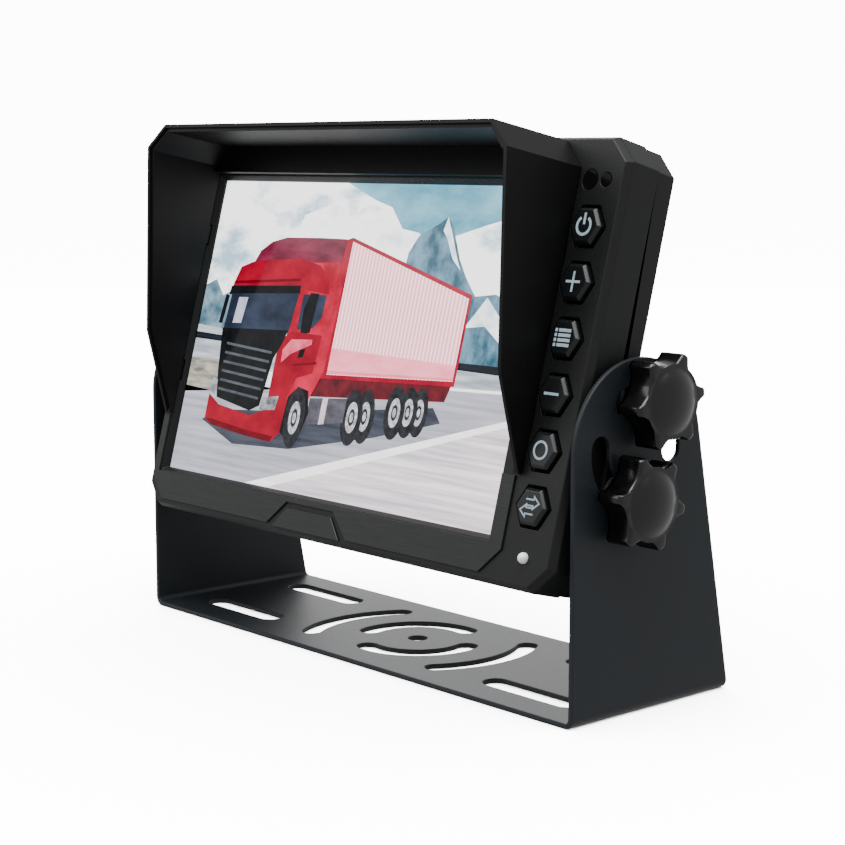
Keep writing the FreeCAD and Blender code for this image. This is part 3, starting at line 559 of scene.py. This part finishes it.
@dataclass
class Keypad:
    """Six hexagonal keys down the right of the screen, each with its printed sign."""

    rest: Rest
    across: float = 81.0
    top: float = 54.1
    pitch: float = 14.8
    face: float = -20.6
    film: float = 0.05

    def sign(self, symbol: Symbol) -> list[bpy.types.Object]:
        """The strokes of one sign, about its middle.

        Args:
            symbol: Which sign.

        Returns:
            Its flat pieces.
        """
        name = "sign_" + symbol.value
        match symbol:
            case Symbol.POWER:
                return [ribbon(name, arc(2.35, 122, 418), 0.75), ribbon(name, [(0, 0.3), (0, 3.4)], 0.75)]
            case Symbol.PLUS:
                return [ribbon(name, [(-2.5, 0), (2.5, 0)], 0.65), ribbon(name, [(0, 0.325), (0, 2.75)], 0.65),
                        ribbon(name, [(0, -2.75), (0, -0.325)], 0.65)]
            case Symbol.MENU:
                rows = (-1.95, -0.65, 0.65, 1.95)
                return ([ribbon(name, [(-1.5, y), (2.8, y)], 0.85) for y in rows]
                        + [ribbon(name, [(-2.8, y), (-2.0, y)], 0.85) for y in rows])
            case Symbol.MINUS:
                return [ribbon(name, [(-2.6, 0), (2.6, 0)], 0.7)]
            case Symbol.SELECT:
                return [ribbon(name, arc(2.25, 0, 360, 36), 0.62)]
        right = [(-1.6, 0.3), (1.2, 0.3), (1.2, -0.5), (3.2, 1.1), (1.2, 2.7), (1.2, 1.9), (-1.6, 1.9)]
        left = [(-x, -y) for x, y in right]
        return [ribbon(name, right, 0.42), ribbon(name, left, 0.42)]

    def build(self) -> None:
        """Makes the keys and prints their signs."""
        for row, symbol in enumerate(Symbol):
            body = "key_" + symbol.value
            Moulding(body, "cap_" + symbol.value, body, "key_plastic", KEY, 0.22).build()
            print_ = join(self.sign(symbol), "sign_" + symbol.value)
            use(print_, "SOLIDIFY", thickness=self.film * MM, offset=1.0)
            settle(print_, self.rest.front(self.across, self.face, self.top - row * self.pitch))
            print_.data.materials.append(INK.material())
            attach(print_, body)
            log.info("%s printed", print_.name)


@dataclass
class StarKnob:
    """A six-pointed clamping knob: scooped sides, soft points and a domed crown.

    The flank's rings are shares of its height and width, the crown's shares of its rise and of the waist.
    """

    side: Side
    level: Level
    seat: float = 96.6
    tip: float = 12.85
    waist: float = 9.3
    thick: float = 7.7
    rise: float = 2.45
    scoop: float = 7.5
    soft: float = 0.3
    points: int = 6
    parts: int = 24
    step: float = 0.04
    crease: float = 38.0
    flank: tuple[Point, ...] = ((0.0, 0.95), (0.04, 0.985), (0.09, 1.0), (0.86, 1.0), (0.92, 0.993),
                                (0.965, 0.975), (0.99, 0.95), (1.0, 0.92))
    crown: tuple[Point, ...] = ((0.0, 0.95), (0.04, 0.92), (0.14, 0.87), (0.34, 0.78), (0.55, 0.66),
                                (0.76, 0.5), (0.92, 0.3), (0.99, 0.1))

    def raise_ring(self, lift: float, share: float) -> None:
        """Extrudes the selected top upwards and scales it.

        Args:
            lift: How far up, in mm.
            share: The new width over the old.
        """
        bpy.ops.mesh.extrude_region_move(TRANSFORM_OT_translate={"value": (0, 0, lift * MM)})
        bpy.ops.transform.resize(value=(share, share, 1))

    def outline(self) -> list[Point]:
        """The knob's outline: concave arcs that meet in soft points.

        Returns:
            Its corners in mm, anticlockwise.
        """
        half = math.pi / self.points
        far = self.waist + self.scoop
        corners = []
        for i in range(self.points * self.parts):
            turn = i * 2 * math.pi / (self.points * self.parts)
            away = (turn + half) % (2 * half) - half
            reach = self.tip
            under = self.scoop ** 2 - (far * math.sin(away)) ** 2
            if under > 0:
                free = far * math.cos(away) - math.sqrt(under)
                reach = -self.soft * math.log(math.exp(-free / self.soft) + math.exp(-self.tip / self.soft))
            corners.append((reach * math.cos(turn), reach * math.sin(turn)))
        return corners

    def build(self) -> bpy.types.Object:
        """Draws the outline and raises it, ring by ring, to the crown.

        Returns:
            The finished knob.
        """
        name = f"{self.side.name}_{self.level.name}".lower()
        corners = self.outline()
        mean = sum(math.hypot(*corner) for corner in corners) / len(corners)
        knob = sheet("knob_grip_" + name, corners)
        pick(knob)
        bpy.ops.object.mode_set(mode="EDIT")
        bpy.ops.mesh.select_all(action="SELECT")
        height, share = 0.0, 1.0
        for up, wide in self.flank:
            self.raise_ring(up * self.thick - height, wide / share)
            height, share = up * self.thick, wide
        self.raise_ring(self.step, 1.0)
        bpy.ops.transform.tosphere(value=1.0)
        height, radius = height + self.step, mean * share
        for up, wide in self.crown:
            self.raise_ring(self.thick + up * self.rise - height, wide * self.waist / radius)
            height, radius = self.thick + up * self.rise, wide * self.waist
        bpy.ops.mesh.select_all(action="SELECT")
        bpy.ops.mesh.normals_make_consistent(inside=False)
        bpy.ops.object.mode_set(mode="OBJECT")
        bpy.ops.object.shade_smooth_by_angle(angle=math.radians(self.crease))
        low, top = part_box("knob_" + name)
        middle = (low + top) / 2
        sign = self.side.value
        rim = max((v.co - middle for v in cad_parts["knob_" + name].data.vertices),
                  key=lambda away: math.hypot(away.y, away.z))
        tip = math.atan2(rim.z * sign, rim.y)
        settle(knob, Matrix.Translation((sign * self.seat * MM, middle.y, middle.z))
               @ Matrix.Rotation(math.radians(90 * sign), 4, "Y")
               @ Matrix.Rotation(tip + math.radians(90) - math.pi / self.points, 4, "Z"))
        knob.data.materials.append(PHENOLIC.material())
        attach(knob, "knob_" + name)
        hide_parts("knob_" + name)
        log.info("%s: %d faces", knob.name, len(knob.data.polygons))
        return knob


@dataclass
class Picture:
    """The picture on the panel: a red lorry with a ribbed container on a mountain road.

    Places are in mm from the lower left corner of the panel's lit area.
    """

    rest: Rest
    width: float = 150.8
    height: float = 94.2
    left: float = -84.5
    foot: float = -29.1
    glass: float = -16.66
    layer: float = 0.012
    made: list[bpy.types.Object] = field(default_factory=list)

    def lay(self, tone: Lit, corners: Sequence[Point]) -> None:
        """Lays one flat shape on those before it.

        Args:
            tone: Its colour.
            corners: Its outline.
        """
        shape = sheet("picture_shape", corners)
        shape.data.materials.append(tone.material())
        depth = self.glass - self.layer * (len(self.made) + 1)
        settle(shape, self.rest.front(self.left, depth, self.foot))
        self.made.append(shape)

    def wheel(self, x: float, y: float, wide: float, high: float) -> None:
        """Lays a tyre with its rim, seen aslant.

        Args:
            x: Its middle.
            y: Its middle.
            wide: Half its width.
            high: Half its height.
        """
        for tone, share in ((TYRE, 1.0), (RIM, 0.55), (TYRE, 0.3), (RIM, 0.18)):
            self.lay(tone, [(x + wide * share * u, y + high * share * v) for u, v in arc(1.0, 0, 345, 23)])

    def scenery(self) -> None:
        """Sky, mountains, plain and road."""
        w, h = self.width, self.height
        self.lay(SKY, [(0, 30), (w, 30), (w, h), (0, h)])
        self.lay(DEEP_SKY, [(62, h), (76, h - 5), (84, h - 7), (90, h - 13), (101, h - 18), (112, h - 15),
                            (126, h - 11), (w, h - 5), (w, h)])
        self.lay(CLOUD, [(66, 62), (96, 60), (112, 62), (106, 72), (98, 80), (90, 81), (84, 86), (74, 88),
                         (66, 84), (58, 88), (44, 84), (40, 74)])
        self.lay(FAR_HILL, [(0, 38), (22, 38), (22, 54), (15, 59), (10, 57), (5, 62), (0, 60)])
        self.lay(PEAK, [(92, 38), (w, 38), (w, 60), (141, 62), (134, 64), (126, 63), (121, 68), (117, 73),
                        (112, 82), (109, 85), (106, 83), (102, 81), (98, 79), (95, 74)])
        self.lay(SNOW, [(109, 85), (112, 80), (116, 73), (118, 70), (114, 73), (112, 76), (110, 79), (108, 81)])
        self.lay(SNOW, [(124, 54), (131, 63), (137, 58), (w, 52), (w, 47), (140, 50), (132, 55)])
        self.lay(PLAIN, [(0, 34), (w, 37), (w, 44), (120, 44), (20, 46), (0, 47)])
        self.lay(RAIL, [(0, 42.5), (24, 42.2), (24, 44), (0, 44.6)])
        self.lay(RAIL, [(112, 42.4), (w, 42), (w, 44.5), (112, 44.2)])
        self.lay(SCRUB, [(0, 27), (24, 26), (24, 37), (0, 36)])
        self.lay(ROAD, [(0, 0), (w, 0), (w, 38), (118, 36), (60, 31), (0, 25)])
        self.lay(NEAR_ROAD, [(50, 0), (w, 0), (w, 30)])
        self.lay(LINE, [(40, 0), (51, 0), (w, 29.5), (w, 31.2)])
        self.lay(LINE, [(112, 36), (w, 37.4), (w, 38.2), (112, 36.8)])
        self.lay(SHADE, [(12, 17), (30, 11), (58, 12.5), (95, 20), (122, 27), (118, 31), (60, 24), (20, 21)])

    def trailer(self) -> None:
        """Container, chassis and the wheels under it."""
        self.lay(CHASSIS, [(62, 29), (122, 33), (124, 39), (62, 37)])
        self.wheel(112.5, 29.0, 3.6, 7.0)
        self.wheel(108.0, 28.6, 3.9, 7.3)
        self.wheel(102.5, 28.0, 4.2, 7.8)
        self.wheel(90.0, 25.6, 4.2, 8.0)
        self.wheel(84.5, 24.8, 4.6, 8.4)
        self.lay(TANK, [(64, 20.5), (81, 22.8), (81, 30), (64, 28.6)])
        self.lay(STRAP, [(70, 21.2), (72.5, 21.6), (72.5, 29.4), (70, 29.2)])
        self.lay(BOX_FRAME, [(65, 34.5), (69.2, 35), (125, 37.5), (125.3, 63.2), (69.6, 77.6), (65.5, 76.4)])
        self.lay(BOX_SIDE, [(69.6, 36.2), (124, 38.9), (124.2, 62.2), (69.9, 76.4)])
        self.lay(BOX_SKIRT, [(69.6, 36.4), (124, 39.1), (124, 43.4), (69.6, 44.2)])
        self.lay(BOX_LINE, [(69.6, 36.4), (124, 39.1), (124, 39.7), (69.6, 37.4)])

    def cab(self) -> None:
        """The tractor: roof, windscreen, grille, door and bumper."""
        self.lay(RED_SIDE, [(46, 22), (54, 18), (60, 22), (65, 31), (68, 37), (69, 62), (65, 71), (48, 70),
                            (47, 46)])
        self.lay(ROOF, [(23, 67), (26, 72), (31, 75), (38, 76.6), (55, 77), (67, 77), (66.5, 70), (48, 69)])
        self.lay(RED, [(14.5, 59), (16, 63), (17.5, 66.5), (24, 68.6), (47, 70.4), (57, 68.5), (62, 64.5),
                       (63.5, 60), (49, 61)])
        self.lay(DARK_RED, [(15.4, 61.8), (48.5, 64.2), (49, 63.4), (15.2, 61)])
        self.lay(BLACK, [(13.8, 57.4), (49.6, 59.4), (49.4, 62), (14.4, 60.2)])
        self.lay(PANE, [(14.4, 46), (47.6, 47.2), (49.4, 59.6), (15.4, 57.8)])
        self.lay(PANE_GLINT, [(18.5, 48.5), (23, 48.7), (24.2, 57), (19.5, 56.8)])
        self.lay(PANE, [(51.5, 48.5), (59, 49.4), (62.4, 53), (62.6, 59.8), (51.6, 59.4)])
        self.lay(BLACK, [(53.5, 47), (58, 48), (59, 60), (55, 60), (53, 55)])
        self.lay(RED, [(44, 24), (52, 26), (56, 34), (63, 36), (64, 47.5), (49, 47.8), (44, 44)])
        self.lay(RED_GLINT, [(47, 38), (51, 41), (60, 44.5), (60, 46), (50, 45.4), (46.6, 42)])
        self.lay(DARK_RED, [(53, 37.4), (64, 38.8), (64, 39.5), (53, 38)])
        self.lay(BLACK, [(54.6, 40), (57, 40.4), (57.6, 43), (55, 42.6)])
        self.lay(BLACK, [(14, 46.6), (47.6, 48), (46, 44), (43, 39), (40.6, 24), (36, 22), (18, 24.6),
                         (16, 33)])
        for i in range(6):
            low = 27.0 + i * 2.9
            self.lay(GRILLE, [(18, low), (39.2 + i * 0.5, low - 1.3), (39.3 + i * 0.5, low - 0.5), (18, low + 0.8)])
        self.lay(RED, [(14, 17.6), (18, 15.8), (36, 14.2), (49, 13.6), (55, 18), (55, 27), (50, 27.4),
                       (46, 24), (37, 20.6), (20, 22.4), (14, 25.4)])
        self.lay(DARK_RED, [(14.6, 17.6), (18, 15.8), (36, 14.2), (49, 13.6), (50, 15.4), (36, 16), (18, 17.6)])
        self.lay(LAMP, [(41, 22.6), (48.6, 23.4), (49.4, 27.8), (41.6, 26.6)])
        self.lay(LAMP, [(14.2, 26.2), (17, 25.4), (17.2, 30), (14.6, 30.8)])
        self.lay(BLACK, [(53, 17), (58, 15), (63, 18), (65, 24), (63, 30.6), (58, 31.4), (54, 28)])
        self.wheel(58.8, 22.0, 4.7, 9.2)
        self.lay(BLACK, [(11.6, 48), (13.6, 48), (14.8, 57), (12.8, 57.4)])

    def build(self) -> bpy.types.Object:
        """Draws the whole picture and makes it one piece.

        Returns:
            The picture.
        """
        self.scenery()
        self.trailer()
        self.cab()
        picture = join(self.made, "panel_picture")
        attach(picture, "monitor")
        log.info("%s: %d shapes", picture.name, len(picture.data.polygons))
        return picture


def tone(name: str, dark: str, light: str, blot: Point = (6.0, 6.0), low: float = 0.35, high: float = 0.65,
         ribs: float = 0.0) -> Lit:
    """One tone of the picture.

    Args:
        name: The material's name.
        dark: Its darker colour.
        light: Its lighter colour.
        blot: The size of its blots in mm.
        low: Where the pattern is all dark.
        high: Where it is all light.
        ribs: The pitch of upright ribs in mm, if it has them.

    Returns:
        The finish.
    """
    return Lit(name, dark, light, roughness=0.08, specular=0.12, glow=2.6, blot=blot, low=low, high=high, ribs=ribs)


# The panel is an LCD behind glass: every tone gives out light and has the glass's own gloss.
SKY = tone("lcd_sky", "#8fb0c0", "#ffffff", (22.0, 12.0), 0.36, 0.52)
DEEP_SKY = tone("lcd_deep_sky", "#3b7d92", "#7fb0bf", (30.0, 14.0))
CLOUD = tone("lcd_cloud", "#c6d0da", "#ffffff", (12.0, 9.0), 0.3, 0.5)
FAR_HILL = tone("lcd_far_hill", "#36505f", "#6d8794", (5.0, 5.0))
PEAK = tone("lcd_peak", "#234656", "#5f8194", (6.0, 8.0), 0.38, 0.62)
SNOW = tone("lcd_snow", "#b9cad6", "#f2f6f8", (4.0, 4.0))
PLAIN = tone("lcd_plain", "#7c858e", "#b3b7bd", (20.0, 2.0))
RAIL = tone("lcd_rail", "#0b0e13", "#1c2128", (20.0, 1.0))
SCRUB = tone("lcd_scrub", "#5b5a52", "#a09c92", (8.0, 2.0))
ROAD = tone("lcd_road", "#83848f", "#a3a2ab", (40.0, 1.6))
NEAR_ROAD = tone("lcd_near_road", "#a8a4ac", "#e2d8da", (50.0, 1.6))
LINE = tone("lcd_line", "#ebe5e6", "#faf6f5", (20.0, 2.0))
SHADE = tone("lcd_shade", "#262932", "#3c404a", (20.0, 2.0))
CHASSIS = tone("lcd_chassis", "#3b1319", "#5d1620", (4.0, 4.0))
TYRE = tone("lcd_tyre", "#121315", "#26272b", (2.0, 2.0))
RIM = tone("lcd_rim", "#6d6e74", "#b9bac0", (1.4, 1.4))
TANK = tone("lcd_tank", "#35343c", "#504e57", (6.0, 3.0))
STRAP = tone("lcd_strap", "#9d9099", "#c3b3bb", (3.0, 3.0))
BOX_FRAME = tone("lcd_box_frame", "#74041c", "#920c2a", (8.0, 8.0))
BOX_SIDE = tone("lcd_box_side", "#ef98a6", "#ffd9df", low=0.2, high=0.8, ribs=1.55)
BOX_SKIRT = tone("lcd_box_skirt", "#ea7c90", "#f394a4", (8.0, 3.0))
BOX_LINE = tone("lcd_box_line", "#d86476", "#e27587", (8.0, 3.0))
RED = tone("lcd_red", "#6e0018", "#8c0420", (10.0, 8.0))
RED_SIDE = tone("lcd_red_side", "#84061f", "#b41c3a", (8.0, 10.0))
RED_GLINT = tone("lcd_red_glint", "#b83a54", "#d45e74", (4.0, 4.0))
DARK_RED = tone("lcd_dark_red", "#4a000c", "#5e0412", (6.0, 4.0))
ROOF = tone("lcd_roof", "#42061a", "#74203a", (14.0, 5.0))
BLACK = tone("lcd_black", "#070809", "#101215", (4.0, 4.0))
GRILLE = tone("lcd_grille", "#33373d", "#474c53", (6.0, 2.0))
PANE = tone("lcd_pane", "#161c28", "#2a3344", (16.0, 10.0))
PANE_GLINT = tone("lcd_pane_glint", "#8d8fa3", "#a9aabb", (6.0, 6.0))
LAMP = tone("lcd_lamp", "#3d4348", "#8b9096", (3.0, 3.0))


@dataclass
class Studio:
    """A pale paper floor, a white room, soft lights and the camera."""

    camera_at: tuple[float, float, float] = (0.4312, -0.3792, 0.1471)
    camera_turn: tuple[float, float, float] = (82.10, 0.0, 48.53)
    lens: float = 82.74
    room: float = 0.85
    wall: float = 13.0
    wash: float = 44.0
    reach: float = 12.0
    sun_width: float = 120.0
    aim: tuple[float, float, float] = (0.0, 0.0, 0.08)
    lamps: tuple[Lamp, ...] = (
        ("softbox_left", (-0.9, -0.9, 0.9), 0.9, 8.0),
        ("softbox_top", (0.15, -0.35, 1.3), 1.0, 34.0),
        ("softbox_right", (0.9, 0.3, 1.0), 0.4, 4.0),
        ("softbox_back", (-1.1, 1.0, 0.35), 1.0, 10.0),
    )

    def floor(self) -> bpy.types.Object:
        """Lays the paper floor.

        Returns:
            The floor.
        """
        deselect()
        bpy.ops.mesh.primitive_circle_add(vertices=64, radius=self.reach, fill_type="NGON")
        paper = bpy.context.object
        paper.name = "paper_floor"
        paper.data.materials.append(PAPER.material())
        paper.visible_glossy = False
        paper.visible_diffuse = False
        return paper

    def light(self, name: str, place: tuple[float, float, float], size: float,
              power: float) -> bpy.types.Object:
        """Hangs one square soft light, turned to the object.

        Args:
            name: Its name.
            place: Where it hangs, in metres.
            size: Its side in metres.
            power: Its power in watts.

        Returns:
            The lamp.
        """
        deselect()
        bpy.ops.object.light_add(type="AREA", location=place)
        lamp = bpy.context.object
        lamp.name = name
        lamp.data.size = size
        lamp.data.energy = power
        lamp.visible_camera = False
        lamp.rotation_euler = (Vector(self.aim) - Vector(place)).to_track_quat("-Z", "Y").to_euler()
        return lamp

    def build(self) -> None:
        """Makes floor, room light, lamps and camera."""
        paper = self.floor()
        world = bpy.data.worlds.new("white_room")
        bpy.context.scene.world = world
        world.use_nodes = True
        tree = world.node_tree
        tree.nodes.clear()
        seen = add_node(tree, "ShaderNodeLightPath")
        power = add_node(tree, "ShaderNodeMapRange", {"To Min": self.room, "To Max": self.wall},
                         {"Value": seen.outputs["Is Camera Ray"]})
        white = add_node(tree, "ShaderNodeBackground", {"Color": linear("#ffffff")},
                         {"Strength": power.outputs["Result"]})
        add_node(tree, "ShaderNodeOutputWorld", None, {"Surface": white.outputs[0]})
        for lamp in self.lamps:
            self.light(*lamp)
        only_floor = bpy.data.collections.new("floor_only")
        only_floor.objects.link(paper)
        bpy.ops.object.light_add(type="SUN", location=(0, 0, 3))
        wash = bpy.context.object
        wash.name = "floor_wash"
        wash.data.energy = self.wash
        wash.data.angle = math.radians(self.sun_width)
        wash.light_linking.receiver_collection = only_floor
        bpy.ops.object.camera_add(location=self.camera_at,
                                  rotation=[math.radians(a) for a in self.camera_turn])
        camera = bpy.context.object
        camera.data.lens = self.lens
        camera.data.sensor_width = 36.0
        camera.data.clip_start = 0.01
        bpy.context.scene.camera = camera


def dress(nodes: Iterable[tuple[str, Finish]]) -> None:
    """Gives the CAD nodes that stay their finishes.

    Args:
        nodes: Node name and finish.
    """
    for name, finish in nodes:
        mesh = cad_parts[name].data
        mesh.materials.clear()
        mesh.materials.append(finish.material())
        log.info("%s dressed in %s", name, finish.name)


def main() -> None:
    """Builds every sub-assembly in order and reports each."""
    logging.basicConfig(level=logging.INFO, format="%(message)s")
    rest = Rest()
    Studio().build()
    Moulding("u_bracket", "bracket_steel", "bracket", "powder_coat", POWDER, 0.35).build()
    Case().build()
    Moulding("sunshade", "hood_moulding", "sunshade", "hood_plastic", HOOD_ABS, 0.18, clamped=True).build()
    Keypad(rest).build()
    for side in Side:
        for level in Level:
            StarKnob(side, level).build()
    Picture(rest).build()
    dress(DRESSED.items())
    deselect()


if __name__ == "__main__":
    main()
